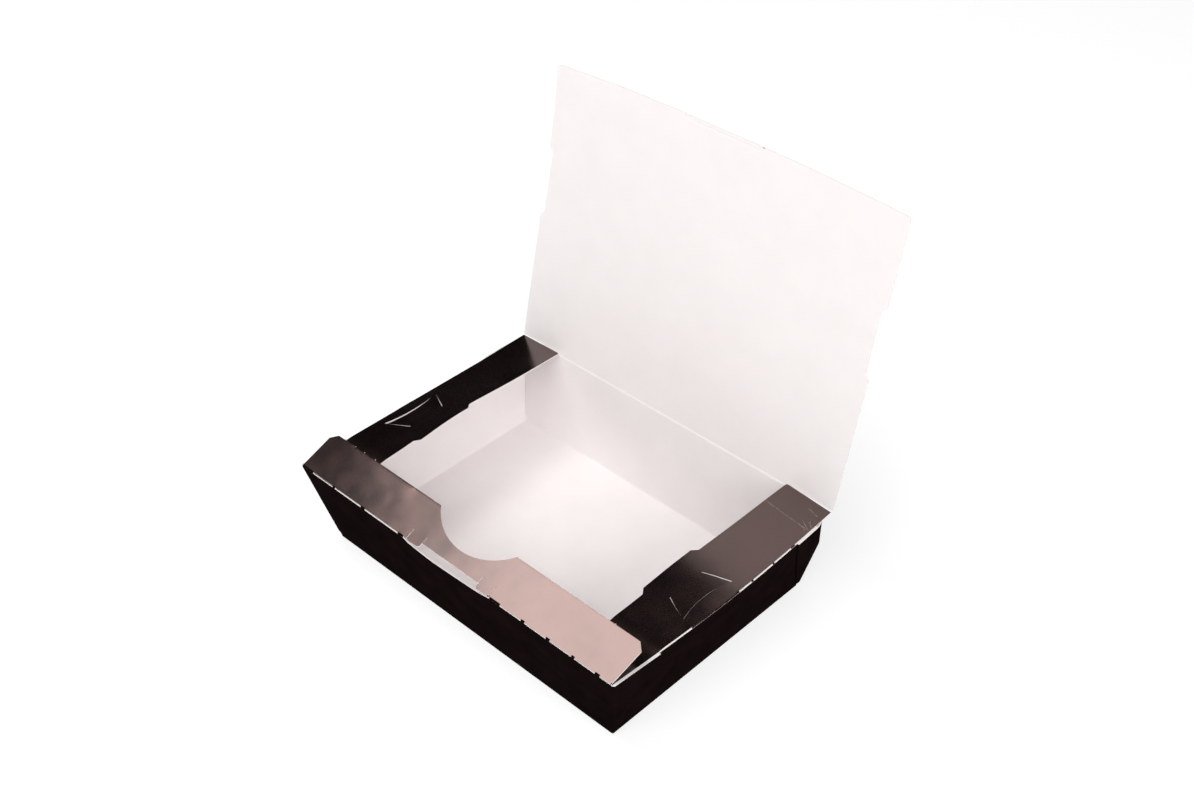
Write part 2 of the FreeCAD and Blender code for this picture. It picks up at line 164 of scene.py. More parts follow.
# Front flap.
FRONT_WIDTH = 23.4
FRONT_END = 106.4
FRONT_TILT = 22.3
FRONT_BEVEL = 3.6
FRONT_ROUND = 0.5
FRONT_WAVE = (0.25, 0.05, 0.6)
FRONT_ROOT = 0.62
RIGHT_FRONT_ROOT = 0.3
FRONT_CREASE_END = 1.05
LEFT_CURL = 0.6
LEFT_CURL_START = 64.0
EDGE_TURN = 0.06
EDGE_TURN_LENGTH = 0.6
NICKS = (-90.0, -83.2, -75.0, 88.6)
NICK_HALF = 0.4
NICK_REACH = 0.5
THUMB_WIDTH = 52.4
THUMB_DEPTH = 12.7
THUMB_STEPS = 30
SLOT_LEFT = -30.4
SLOT_RIGHT = 29.3
SLOT_END = 0.6
RECESS_HALF = 19.4
RECESS_DEPTH = 2.4
LIP_RECESS = -0.3
LIP_ROUND = 1.8
LIP_WIDTH = 9.0
LIP_SLIT_START = 0.12
LIP_SLIT_END = 6.5
LIP_DROP = 0.12

# Lid.
LID_LENGTH = 155.0
LID_LEAN = 13.65
LID_ROOT_HALF = RIM_X + 0.3
LID_FREE_HALF = RIM_X + 2.0
LID_BOW = 2.4
LID_ROUND = 2.0
LID_ROOT = 0.9
LID_CORNER = 12.0
LID_EDGE_START = 16.0
LID_EDGE_POINTS = 30
LID_CAMBER = 0.9
LID_WAVE = 0.35
LID_WAVE_RATES = (0.035, 0.02)

# The lid's left free corner droops. Each place is where it starts and over what
# length it grows, along X from the middle and along the lid from its crease.
LID_DROOP = 1.6
LID_DROOP_ALONG = (60.0, 50.0)
LID_DROOP_UP = (128.0, 27.0)

# The lid's side notch, and the tuck tab.
NOTCH_START = 72.0
NOTCH_LENGTH = 36.0
NOTCH_DEPTH = 2.5
NOTCH_SLANT = 3.0
NOTCH_ROUND = 3.6
NOTCH_SLANT_ROUND = 0.8
NOTCH_SQUARE_ROUND = 0.5
TAB_CUT_HALF = 24.5
TAB_HALF = 23.0
TAB_NECK = 5.0
TAB_LENGTH = 13.0
TAB_TIP_HALF = 15.0
TAB_ROUND = 2.5
TAB_NECK_ROUND = 1.5
TAB_FOLD = 115.0
TAB_FOLD_RADIUS = 0.35
TAB_FOLD_OVERLAP = 0.02
TAB_FOLD_TANGENT = TAB_FOLD_RADIUS * math.tan(math.radians(TAB_FOLD / 2))

# The score line below the tab, and the mesh rows that carry it.
TAB_SCORE = 2.2
SCORE_DEPTH = 0.16
SCORE_HALF = 0.35
SCORE_END = 1.0
SCORE_ROW_HALF = 24.0
SCORE_ROW_STEP = 0.8
SCORE_ROWS = (-1.4, -0.7, -0.35, 0.0, 0.35, 0.7)

# Where a crease is cut through and its raw edge shows, along X at the front
# and along Y at the sides. Between these the board is only creased.
FRONT_CUTS = ((-98.0, -83.0), (-81.2, -61.6), (-58.5, -34.3), (36.3, 50.0),
              (52.4, 66.0), (68.5, 82.0), (84.0, 96.5), (99.4, 106.0))
SIDE_CUTS = ((-SIDE_END, -27.5), (4.9, 13.5), (15.2, 29.3), (30.8, 43.5), (46.7, SIDE_END))
SHORTEST_BRIDGE = 0.05

# The top of the front wall in the slot: place along X and depth below the rim.
# The wall's rings dip from SLOT_DIP_FOOT up.
SLOT_DIP_FOOT = 30.0
SLOT_DIP = ((SLOT_LEFT, 0.0), (-27.5, 1.3), (-19.0, 2.1), (-10.0, 2.6), (0.0, 2.3),
            (14.0, 1.7), (22.0, 1.2), (SLOT_RIGHT, 0.0))

# How finely the board is meshed. The tray's rings lie at shares of the floor's
# size, at heights above the foot's bend, and then evenly up to the rim.
WALL_STEP = 2.5
EDGE_STEP = 1.6
PANEL_STEP = 3.2
GRID_GAP = 0.72
ROW_GAP = 0.05
CREASE_STEP = 1.0
SHARP_ANGLE = 35.0
FLOOR_RINGS = (0.03, 0.15, 0.3, 0.45, 0.6, 0.75, 0.88, 0.96, 0.99)
BEND_RINGS = 7
FOOT_RINGS = (0.3, 0.7, 1.1, 1.6, 2.1, 2.7, 3.4, 4.2)
WALL_RINGS_START = 6.5
WALL_RINGS = 20
SIDE_ROW_HALF = 75.0
SIDE_ROW_STEP = 1.5
SIDE_ROWS = (-0.3, -0.15, 0.0, 0.08, 0.6)
FRONT_ROW_HALF = 106.0
FRONT_ROW_STEP = 1.6
FRONT_ROWS = (1.5, 2.4, FRONT_WIDTH - 0.75, FRONT_WIDTH - 0.5, FRONT_WIDTH - 0.25)
WRAP_STEPS = 9
TURN_STEPS = 8
LAYER_POINTS = 12
CREASE_POINTS = 9
LID_CREASE_POINTS = 130
TAB_CREASE_POINTS = 30
TAB_FOLD_POINTS = 12
TONGUE_POINTS = 15
BEVEL_STEPS = 3

# How near two lengths are taken as the same, the step over which a surface's
# slope is taken, and the share of a direction from which a wall faces that way.
NEAR = 0.01
SLOPE_STEP = 0.01
FACING = 0.99

# A bend's overlap with the wall it leaves, and how far its ends' directions
# reach, as a share of its length.
OVERLAP = 0.02
BEND_REACH = 0.9

BLACK_SIDE, WHITE_SIDE, CUT_EDGE = 0, 1, 2

joints = {joint["name"]: joint for joint in frame["joints"]}


def hinge_point(name):
    """A hinge's place as (Y, Z) in millimetres."""
    return joints[name]["pos_m"][1] / MM, joints[name]["pos_m"][2] / MM


def arc(centre, radius, first, last, steps):
    """Points on an arc, from angle first to angle last in degrees."""
    angles = np.radians(np.linspace(first, last, steps + 1))
    return np.column_stack((centre[0] + radius * np.cos(angles), centre[1] + radius * np.sin(angles)))


def placed(name, data):
    """An object of its own in the scene, made from a mesh, a lamp or a camera."""
    placed_object = bpy.data.objects.new(name, data)
    bpy.context.scene.collection.objects.link(placed_object)
    return placed_object


def smooth(value):
    """An even rise from 0 to 1, level at both ends."""
    value = np.clip(value, 0.0, 1.0)
    return value * value * (3.0 - 2.0 * value)


def ripple(place, size, rate, start):
    """A flap's wave along its crease: how high, how fast and where it starts."""
    return size * np.sin(place * rate + start)


def spread(points):
    """The points with the front left corner and the right wall's rim moved outwards."""
    left = np.clip(-points[:, 0] / RIM_X, 0.0, 1.0)
    front = np.clip(0.5 - points[:, 1] / (2 * RIM_Y), 0.0, 1.0)
    height = points[:, 2] / RIM_Z
    up_to_rim = np.clip(height, 0.0, 1.0)
    near_rim = up_to_rim * np.clip(2.0 - height, 0.0, 1.0)
    moved = points.copy()
    moved[:, 0] -= LEFT_SPREAD * left * front * np.sqrt(near_rim)
    middle = np.cos(np.clip(points[:, 1] / RIM_Y, -1.0, 1.0) * math.pi / 2)
    right = np.clip((points[:, 0] - BOW_START) / (RIM_X - BOW_START), 0.0, 1.0)
    moved[:, 0] += RIGHT_BOW * right * middle * up_to_rim
    return moved


class Board:
    """Closed sheets of board, gathered into one mesh.

    Each sheet is a middle surface with an offset at every point that leads to
    its black side. The white side lies at the opposite offset.
    """

    def __init__(self):
        self.points = []
        self.faces = []
        self.sides = []
        self.wear = []
        self.count = 0

    def add(self, middle, offset, faces, wear=None):
        """Add a sheet. wear says how worn its varnish is at each point, from 0 to 1."""
        total = len(middle)
        black = self.count
        white = self.count + total
        self.points += [middle + offset, middle - offset]
        self.wear += [np.zeros(total) if wear is None else wear] * 2
        self.count += total * 2
        borders = set()
        for face in faces:
            self.faces.append([black + i for i in face])
            self.faces.append([white + i for i in reversed(face)])
            self.sides += [BLACK_SIDE, WHITE_SIDE]
            borders.update(zip(face, face[1:] + face[:1]))
        for a, b in borders:
            if (b, a) not in borders:
                self.faces.append([white + a, white + b, black + b, black + a])
                self.sides.append(CUT_EDGE)

    def make(self, name, materials):
        """The mesh as an object, with materials for the black side, the white side and the edge."""
        mesh = bpy.data.meshes.new(name)
        mesh.from_pydata((spread(np.vstack(self.points)) * MM).tolist(), [], self.faces)
        for material in materials:
            mesh.materials.append(material)
        mesh.polygons.foreach_set("material_index", self.sides)
        mesh.polygons.foreach_set("use_smooth", [True] * len(self.faces))
        worn = mesh.attributes.new("wear", "FLOAT", "POINT")
        worn.data.foreach_set("value", np.concatenate(self.wear).astype(np.float32))
        mesh.update()
        mark_sharp(mesh)
        return placed(name, mesh)


def mark_sharp(mesh):
    """Keep an edge sharp where its two faces meet at more than SHARP_ANGLE."""
    limit = math.cos(math.radians(SHARP_ANGLE))
    normals = [polygon.normal.copy() for polygon in mesh.polygons]
    beside = {}
    for polygon in mesh.polygons:
        for key in polygon.edge_keys:
            beside.setdefault(key, []).append(polygon.index)
    sharp = []
    for edge in mesh.edges:
        near = beside[edge.key]
        sharp.append(len(near) != 2 or normals[near[0]].dot(normals[near[1]]) < limit)
    mesh.edges.foreach_set("use_edge_sharp", sharp)


def inside(points, polygon):
    """Which points lie inside a closed polygon."""
    x, y = points[:, 0][:, None], points[:, 1][:, None]
    x0, y0 = polygon[:, 0], polygon[:, 1]
    x1, y1 = np.roll(x0, -1), np.roll(y0, -1)
    spans = (y0 > y) != (y1 > y)
    rise = np.where(y1 == y0, 1.0, y1 - y0)
    return (spans & (x < x0 + (y - y0) * (x1 - x0) / rise)).sum(axis=1) % 2 == 1


def divided(outline, step):
    """The outline with its long edges divided."""
    result = []
    for start, end in zip(outline, np.roll(outline, -1, axis=0)):
        parts = max(1, math.ceil(np.linalg.norm(end - start) / step))
        result += [start + (end - start) * i / parts for i in range(parts)]
    return np.array(result)


def rounded(outline, radii, steps=6):
    """Round the corners of an outline. radii maps a corner's number to its radius."""
    result = []
    total = len(outline)
    for number, corner in enumerate(outline):
        radius = radii.get(number)
        if radius is None:
            result.append(corner)
            continue
        back = outline[number - 1] - corner
        ahead = outline[(number + 1) % total] - corner
        back = back / np.linalg.norm(back)
        ahead = ahead / np.linalg.norm(ahead)
        half = math.acos(float(np.clip(back @ ahead, -1, 1))) / 2
        centre = corner + (back + ahead) / np.linalg.norm(back + ahead) * radius / math.sin(half)
        first = corner + back * radius / math.tan(half) - centre
        last = corner + ahead * radius / math.tan(half) - centre
        for share in np.linspace(0, 1, steps + 1):
            way = first * (1 - share) + last * share
            result.append(centre + way / np.linalg.norm(way) * radius)
    return np.array(result)


def clear_of_edges(points, rings, gap):
    """The points inside the first ring and outside the others that keep a gap to all of them."""
    points = points[inside(points, rings[0])]
    for ring in rings[1:]:
        points = points[~inside(points, ring)]
    edge_points = np.vstack(rings)
    near = np.array([np.hypot(*(edge_points - point).T).min() for point in points])
    return points[near > gap]


def flat_mesh(outline, holes, extra=()):
    """Triangles over a flat outline less its holes, as points and faces."""
    rings = [divided(np.asarray(ring, float), EDGE_STEP) for ring in [outline, *holes]]
    low, high = rings[0].min(axis=0), rings[0].max(axis=0)
    across = np.arange(low[0] + PANEL_STEP / 2, high[0], PANEL_STEP)
    along = np.arange(low[1] + PANEL_STEP / 2, high[1], PANEL_STEP)
    grid = np.array([(x, y) for x in across for y in along])
    grid = clear_of_edges(grid, rings, GRID_GAP)
    if len(extra):
        grid = np.vstack([grid, clear_of_edges(np.vstack(extra), rings, ROW_GAP)])
    edge_points = np.vstack(rings)
    edges = []
    start = 0
    for ring in rings:
        total = len(ring)
        edges += [(start + i, start + (i + 1) % total) for i in range(total)]
        start += total
    everything = [Vector(point) for point in np.vstack([edge_points, grid])]
    points, _, faces, *_ = delaunay_2d_cdt(everything, edges, [], 1, 1e-5)
    points = np.array([tuple(point) for point in points])
    middles = np.array([points[list(face)].mean(axis=0) for face in faces])
    keep = inside(middles, rings[0])
    for ring in rings[1:]:
        keep &= ~inside(middles, ring)
    return points, [list(face) for face, kept in zip(faces, keep) if kept]


def panel(name, materials, outline, surface, holes=(), extra=(), wear=None):
    """A panel of board. surface turns flat points into middle points."""
    flat, faces = flat_mesh(outline, holes, extra)
    middle = surface(flat)
    along_u = surface(flat + (SLOPE_STEP, 0.0)) - middle
    along_v = surface(flat + (0.0, SLOPE_STEP)) - middle
    normal = np.cross(along_u, along_v)
    normal /= np.linalg.norm(normal, axis=1)[:, None]
    board = Board()
    board.add(middle, normal * BOARD / 2, faces, wear(flat) if wear else None)
    return board.make(name, materials)


def swept(name, materials, section, normals, runs):
    """Board swept along X: section and normals are (Y, Z) rows, each run is its X values."""
    board = Board()
    rows = len(section)
    for places in runs:
        columns = len(places)
        middle = np.zeros((rows, columns, 3))
        offset = np.zeros((rows, columns, 3))
        middle[:, :, 0] = places
        middle[:, :, 1:] = section[:, None, :]
        offset[:, :, 1:] = normals[:, None, :] * BOARD / 2
        starts = [row * columns + column for row in range(rows - 1) for column in range(columns - 1)]
        faces = [[i, i + 1, i + columns + 1, i + columns] for i in starts]
        board.add(middle.reshape(-1, 3), offset.reshape(-1, 3), faces)
    return board.make(name, materials), section


def lean(inset):
    """How far a wall leans out from upright."""
    return math.atan2(inset, RIM_Z)


def web_reach(height):
    """The length of a web along its wall at a height."""
    return WEB_LENGTH * np.clip(height / RIM_Z, 0.0, 1.0)


def back_round(height):
    """How far from the corner the walls begin to curve at the back, at a height."""
    share = np.clip((height - SHOULDER) / (RIM_Z - SHOULDER), 0.0, 1.0)
    return WRAP_RADIUS + (RIM_ROUND - WRAP_RADIUS) * share


def corner_section(height, radius):
    """The board at a corner, from above: end wall, web out and back, side wall.

    Rows are (p, q): p in from the end wall and q out from the side wall, each
    from the wall's middle surface. The end wall wraps the corner at a radius.
    Near the foot the web dies into a plain corner.
    """
    gap = max(CORNER_GAP, radius - CORNER_SLACK)
    reach = max(web_reach(height), gap + WEB_LEAST)
    turn = LAYER_STEP / 2
    outer = LAYER_STEP * 2
    wrap = arc((radius, outer - radius), radius, 180, 90, WRAP_STEPS)
    tip = arc((reach, outer - turn), turn, 90, -90, TURN_STEPS)
    root = arc((gap, turn), turn, 90, 270, TURN_STEPS)
    out = np.linspace(wrap[-1], tip[0], LAYER_POINTS)[1:-1]
    back = np.linspace(tip[-1], root[0], LAYER_POINTS)[1:-1]
    web = np.vstack([wrap, out, tip, back, root])
    plain = arc((FOLD_RADIUS, -FOLD_RADIUS), FOLD_RADIUS, 180, 90, len(web) - 1)
    share = smooth((web_reach(height) - WEB_START) / WEB_GROWTH)
    squeeze = 1.0 - WEB_PINCH * (4.0 * share * (1.0 - share))
    return plain * (1 - share) + web * share, squeeze


def slot_dip(x):
    """How far the front wall's top lies below the rim at x."""
    places, depths = zip(*SLOT_DIP)
    return np.interp(x, places, depths, left=0.0, right=0.0)


def ring_quarter(half_x, half_y, corner, squeeze):
    """The ring from the middle of an end wall, here the front one, to the middle of a side."""
    slots = np.abs([x for x, _ in SLOT_DIP]) / RIM_X
    steps = np.linspace(0.0, 1.0, math.ceil(RIM_X / WALL_STEP) + 1)[:-1]
    end = np.unique(np.concatenate([steps, slots])) * (half_x + corner[0][1])
    side = np.linspace(1.0, 0.0, math.ceil(RIM_Y / WALL_STEP) + 1)[1:] * (corner[-1][0] - half_y)
    quarter = np.vstack([
        np.column_stack((end, np.full(len(end), -half_y))),
        np.column_stack((half_x + corner[:, 1], corner[:, 0] - half_y)),
        np.column_stack((np.full(len(side), half_x), side)),
    ])
    thin = np.ones(len(quarter))
    thin[len(end):len(end) + len(corner)] = squeeze
    return quarter, thin


def tray_ring(half_x, half_y, height, slot_share):
    """One level ring round the tray, anticlockwise from the middle of the front."""
    quarter, thin = ring_quarter(half_x, half_y, *corner_section(height, WRAP_RADIUS))
    back, back_thin = ring_quarter(half_x, half_y, *corner_section(height, back_round(height)))
    right = np.vstack([quarter, back[::-1][1:] * (1, -1)])
    thin = np.concatenate([thin, back_thin[::-1][1:]])
    left = right[::-1] * (-1, 1)
    ring = np.vstack([right, left[1:-1]])
    thin = np.concatenate([thin, thin[::-1][1:-1]])
    on_front = (ring[:, 1] < -half_y + NEAR) & (np.abs(ring[:, 0]) < RIM_X - END_BULGE_AIR)
    drop = np.where(on_front, slot_dip(ring[:, 0]) * slot_share, 0.0)
    return ring, thin, drop


def ring_normals(ring):
    """The outward direction at each point of a ring, from above."""
    ahead = np.roll(ring, -1, axis=0) - ring
    ahead /= np.linalg.norm(ahead, axis=1)[:, None]
    along = ahead + np.roll(ahead, 1, axis=0)
    length = np.linalg.norm(along, axis=1)
    along[length < 1e-6] = ahead[length < 1e-6]
    along /= np.linalg.norm(along, axis=1)[:, None]
    return np.column_stack((along[:, 1], -along[:, 0]))


def wall_half(rim_half, inset, height):
    """The middle surface of a wall at a height, from the tray's middle."""
    level = BOARD / 2 / math.cos(lean(inset))
    return rim_half - level - inset * (1 - height / RIM_Z)


def tray_levels():
    """Rings from the middle of the floor to the rim: points, offsets, and face rows."""
    floor_z = BOARD / 2
    turn = math.pi / 2 - lean((SIDE_INSET + END_INSET) / 2)
    tangent = FOLD_RADIUS * math.tan(turn / 2)
    foot_x = wall_half(RIM_X, SIDE_INSET, floor_z)
    foot_y = wall_half(RIM_Y, END_INSET, floor_z)
    levels = []
    base, _, _ = tray_ring(foot_x - tangent, foot_y - tangent, 0.0, 0.0)
    for share in FLOOR_RINGS:
        middle = np.column_stack((base * share, np.full(len(base), floor_z)))
        levels.append((middle, np.tile((0.0, 0.0, -BOARD / 2), (len(base), 1))))
    for angle in np.linspace(0.0, turn, BEND_RINGS):
        out = FOLD_RADIUS * math.sin(angle) - tangent
        height = floor_z + FOLD_RADIUS * (1 - math.cos(angle))
        ring, _, _ = tray_ring(foot_x + out, foot_y + out, 0.0, 0.0)
        level = ring_normals(ring) * math.sin(angle)
        offset = np.column_stack((level, np.full(len(ring), -math.cos(angle)))) * BOARD / 2
        levels.append((np.column_stack((ring, np.full(len(ring), height))), offset))
    lower = height + np.array(FOOT_RINGS)
    upper = np.linspace(WALL_RINGS_START, RIM_Z, WALL_RINGS)
    for height in np.concatenate([lower, upper]):
        half_x = wall_half(RIM_X, SIDE_INSET, height)
        half_y = wall_half(RIM_Y, END_INSET, height)
        slot_share = smooth((height - SLOT_DIP_FOOT) / (RIM_Z - SLOT_DIP_FOOT))
        ring, thin, drop = tray_ring(half_x, half_y, height, slot_share)
        normals = ring_normals(ring)
        ring = ring + bulge(ring, normals, height)
        offset = normals * (BOARD / 2 / math.cos(lean(SIDE_INSET)) * thin)[:, None]
        middle = np.column_stack((ring, height - drop))
        levels.append((middle, np.column_stack((offset, np.zeros(len(ring))))))
    return levels


def bulge(ring, normals, height):
    """The walls' slight waves, which die out at the foot, the rim and the corners."""
    x, y = ring[:, 0], ring[:, 1]
    quarter_turn = math.pi / 2
    up = math.sin(math.pi * height / RIM_Z)
    along = np.cos(x / RIM_X * quarter_turn) * np.cos(y / RIM_Y * quarter_turn)
    rate_x, rate_y, rate_z = BULGE_RATES
    wave = 1.0 + BULGE_WAVE * np.sin(x * rate_x + y * rate_y + height * rate_z)
    on_end = np.abs(normals[:, 1]) > FACING
    on_side = (np.abs(normals[:, 0]) > FACING) & (np.abs(y) < SIDE_BULGE_HALF)
    end_fade = np.cos(np.clip(x / (RIM_X - END_BULGE_AIR), -1, 1) * quarter_turn)
    fade = np.where(on_end, end_fade, 0.0)
    fade = np.where(on_side, np.cos(y / SIDE_BULGE_HALF * quarter_turn), fade)
    return normals * (WALL_BULGE * up * wave * fade * (along + BULGE_LEAST))[:, None]


def ring_faces(rows, size):
    """Faces between closed rings of points, and from the first ring to a last point in its middle."""
    faces = []
    for low in range(0, (rows - 1) * size, size):
        for i in range(size):
            j = (i + 1) % size
            faces.append([low + i, low + j, low + size + j, low + size + i])
    return faces + [[rows * size, (i + 1) % size, i] for i in range(size)]


def build_tray(materials):
    """Floor, walls and webs: one folded sheet."""
    levels = tray_levels()
    size = len(levels[0][0])
    middle = np.vstack([level[0] for level in levels])
    offset = np.vstack([level[1] for level in levels])
    middle = np.vstack([middle, (0.0, 0.0, BOARD / 2)])
    offset = np.vstack([offset, (0.0, 0.0, -BOARD / 2)])
    faces = ring_faces(len(levels), size)
    board = Board()
    board.add(middle, offset, faces)
    return board.make("tray_board", materials)


def whole_spans(cuts, ends):
    """The stretches of crease that the cuts leave whole, from end to end."""
    whole = []
    here = ends[0]
    for first, last in sorted(cuts):
        if first > here + SHORTEST_BRIDGE:
            whole.append((here, first))
        here = last
    if here < ends[1] - SHORTEST_BRIDGE:
        whole.append((here, ends[1]))
    return whole


def cut_root(cuts, ends, creased, cut):
    """The root of a panel whose crease is cut in places, as (place, v) from end to end."""
    low, high = ends
    stretches = [(first, last, creased) for first, last in whole_spans(cuts, ends)]
    stretches += [(max(first, low), min(last, high), cut) for first, last in cuts]
    return [(place, v) for first, last, v in sorted(stretches) for place in (first, last)]


def mesh_rows(half, step, levels):
    """Rows of mesh points from -half to half, at levels above a panel's root."""
    across = np.arange(-half, half, step)
    return [np.column_stack((across, np.full(len(across), v))) for v in levels]


def side_flap_surface(side):
    """Flat points of a side flap as middle points. u runs to the back on the right side.

    Its front end has sunk below the rim, where the front flap goes down over it.
    """
    pivot_x = RIM_X - BOARD
    radius = BOARD / 2 + SIDE_FOLD_AIR

    def surface(flat):
        u, v = flat[:, 0], flat[:, 1]
        y = u * side
        tilt = np.radians(side_flap_tilt(y, side))
        round_angle = np.clip(-v / radius, 0.0, math.pi / 2 + SIDE_FOLD_PAST)
        ahead = np.maximum(v, 0.0)
        wave = ripple(y, *SIDE_WAVE) * ahead / SIDE_WIDTH
        wave = wave + tongue_lift(y, v, side)
        if side > 0:
            wave = wave - CRACK_DEPTH * cracks(flat)
        else:
            back = smooth((y - BACK_START) / BACK_LENGTH)
            wave = wave + BACK_RISE * back * (1.0 - ahead / SIDE_WIDTH)
        wave = wave - SINK * smooth((SINK_START - y) / (SINK_START - SINK_END))
        inward = ahead * np.cos(tilt) - radius * np.sin(round_angle + tilt)
        up = ahead * np.sin(tilt) + radius * np.cos(round_angle + tilt) + wave
        return np.column_stack(((pivot_x - inward) * side, y, RIM_Z + up))

    return surface


def side_flap_tilt(y, side):
    """How far a side flap stands up, in degrees. The left one bows up in its middle."""
    rise = smooth((y - TILT_START) / TILT_LENGTH)
    if side > 0:
        return TILT_FRONT + (RIGHT_TILT - TILT_FRONT) * rise
    hump = np.exp(-((y - HUMP_PLACE) / HUMP_LENGTH) ** 2)
    even = TILT_FRONT + (LEFT_TILT - TILT_FRONT) * rise
    return even + HUMP * hump


def cracks(flat):
    """How near each point of the right flap is to its crack or a scratch, from 0 to 1."""
    found = np.zeros(len(flat))
    for start, end in (CRACK, *SCRATCHES):
        start, way = np.array(start), np.subtract(end, start)
        share = np.clip((flat - start) @ way / (way @ way), 0.0, 1.0)
        distance = np.linalg.norm(flat - start - share[:, None] * way, axis=1)
        found = np.maximum(found, np.exp(-(distance / CRACK_HALF) ** 2))
    return found


def tongue_lift(y, v, side):
    """The tongue has sunk a little at its free edge, and the left one is twisted."""
    share = np.clip((TONGUE_ROOT - v) / (TONGUE_ROOT - TONGUE_TIP), 0.0, 1.0)
    aside = y - TONGUE_CENTRE
    half = TONGUE_ROOT_WIDTH / 2 + (TONGUE_TIP_WIDTH - TONGUE_ROOT_WIDTH) / 2 * share + KNIFE_SLIT / 2
    hollow = TONGUE_HOLLOW * (1 - np.clip(aside / (TONGUE_TIP_WIDTH / 2), -1, 1) ** 2)
    tip = TONGUE_TIP + hollow - KNIFE_SLIT / 2
    on = (np.abs(aside) < half) & (v < TONGUE_ROOT) & (v > tip)
    forward = np.clip(0.5 - aside / TONGUE_TIP_WIDTH, 0.0, 1.0)
    lift = -TONGUE_DROP
    if side < 0:
        lift = LEFT_TONGUE_RISE * (1.0 - forward) ** 3 - LEFT_TONGUE_DROP * forward
    return np.where(on, lift * share, 0.0)


def tongue_slit(front_width, back_width):
    """The knife cut round the tongue, as a thin closed outline in (y, v)."""
    middle = TONGUE_CENTRE
    half_root = TONGUE_ROOT_WIDTH / 2
    half_tip = TONGUE_TIP_WIDTH / 2
    across = np.linspace(-half_tip, half_tip, TONGUE_POINTS)
    hollow = TONGUE_TIP + TONGUE_HOLLOW * (1 - (across / half_tip) ** 2)
    inner = [(middle - half_root, TONGUE_ROOT)]
    inner += [(middle + x, v) for x, v in zip(across, hollow)]
    inner += [(middle + half_root, TONGUE_ROOT)]
    widths = front_width + (back_width - front_width) * (0.5 + across / TONGUE_TIP_WIDTH)
    outer = [(middle + half_root + back_width, TONGUE_ROOT)]
    outer += [(middle + x * (1 + width / half_tip), v - width)
              for x, v, width in zip(across[::-1], hollow[::-1], widths[::-1])]
    outer += [(middle - half_root - back_width, TONGUE_ROOT)]
    return np.array(inner + outer)


def side_flap_outline():
    """The right flap's outline in (y, v), anticlockwise, from its root at the front."""
    step = STEP_LENGTH / 2
    ends = (-SIDE_END, SIDE_END)
    root = cut_root(SIDE_CUTS, ends, SIDE_CREASED_ROOT, SIDE_CUT_ROOT)
    free = [
        (SIDE_END, SIDE_WIDTH),
        (STEP_CENTRE + step, SIDE_WIDTH),
        (STEP_CENTRE + step - STEP_TAPER, SIDE_WIDTH + STEP_REACH),
        (STEP_CENTRE - step + STEP_TAPER, SIDE_WIDTH + STEP_REACH),
        (STEP_CENTRE - step, SIDE_WIDTH),
        (-SIDE_END, SIDE_WIDTH),
    ]
    radii = (SIDE_ROUND, STEP_ROUND, STEP_ROUND, STEP_ROUND, STEP_ROUND, SIDE_ROUND)
    return rounded(np.array(root + free), dict(enumerate(radii, len(root))))


def build_side_flap(name, side, materials):
    """A side flap, with its crease round the rim, its tongue and its step."""
    outline = side_flap_outline()
    rows = mesh_rows(SIDE_ROW_HALF, SIDE_ROW_STEP, SIDE_ROWS)
    wear = None
    if side > 0:
        slit = tongue_slit(KNIFE_SLIT, KNIFE_SLIT)
        rows += crack_rows()
        wear = cracks
    else:
        outline = (outline * (-1, 1))[::-1]
        slit = (tongue_slit(LEFT_SLIT_FRONT, LEFT_SLIT_BACK) * (-1, 1))[::-1]
    return panel(name, materials, outline, side_flap_surface(side), [slit], rows, wear)


def crack_rows():
    """Rows of mesh points along the crack and the scratches."""
    rows = []
    for start, end in (CRACK, *SCRATCHES):
        start, way = np.array(start), np.subtract(end, start)
        length = np.linalg.norm(way)
        aside = np.array((-way[1], way[0])) / length
        steps = np.linspace(0.0, 1.0, math.ceil(length / CRACK_STEP) + 1)[:, None]
        rows += [start + steps * way + aside * gap for gap in CRACK_ROWS]
    return rows


def hinged(hinge, angle, right, lift=None):
    """The surface of a panel that leaves a hinge at an angle up from level.

    right is 1 where u runs along +X and -1 where it runs along -X. lift moves
    a flat point along the panel's upper normal.
    """
    along = np.array((0.0, math.cos(math.radians(angle)), math.sin(math.radians(angle))))
    upper = np.array((0.0, -along[2], along[1]))

    def surface(flat):
        x = flat[:, 0] * right
        start = np.array((0.0, hinge[0], hinge[1]))
        raised = np.zeros(len(flat)) if lift is None else lift(x, flat[:, 1])
        points = start + flat[:, 1][:, None] * along + raised[:, None] * upper
        points[:, 0] = x
        return points

    return surface


def front_flap_lift(x, v):
    """The lips have sunk, the left end curls down and the free edge turns up a hair."""
    lip = (np.abs(x) > RECESS_HALF) & (np.abs(x) < RECESS_HALF + LIP_WIDTH) & (v < LIP_SLIT_END)
    sunk = np.where(lip, -LIP_DROP * np.clip(1.0 - v / LIP_SLIT_END, 0.0, 1.0), 0.0)
    wave = ripple(x, *FRONT_WAVE) * (v / FRONT_WIDTH)
    leftward = np.clip((-x - LEFT_CURL_START) / (FRONT_END - LEFT_CURL_START), 0.0, None)
    curl = -LEFT_CURL * leftward ** 2 * v / FRONT_WIDTH
    turn = EDGE_TURN * np.clip(1.0 - (FRONT_WIDTH - v) / EDGE_TURN_LENGTH, 0.0, 1.0) ** 2
    return sunk + wave + curl + turn


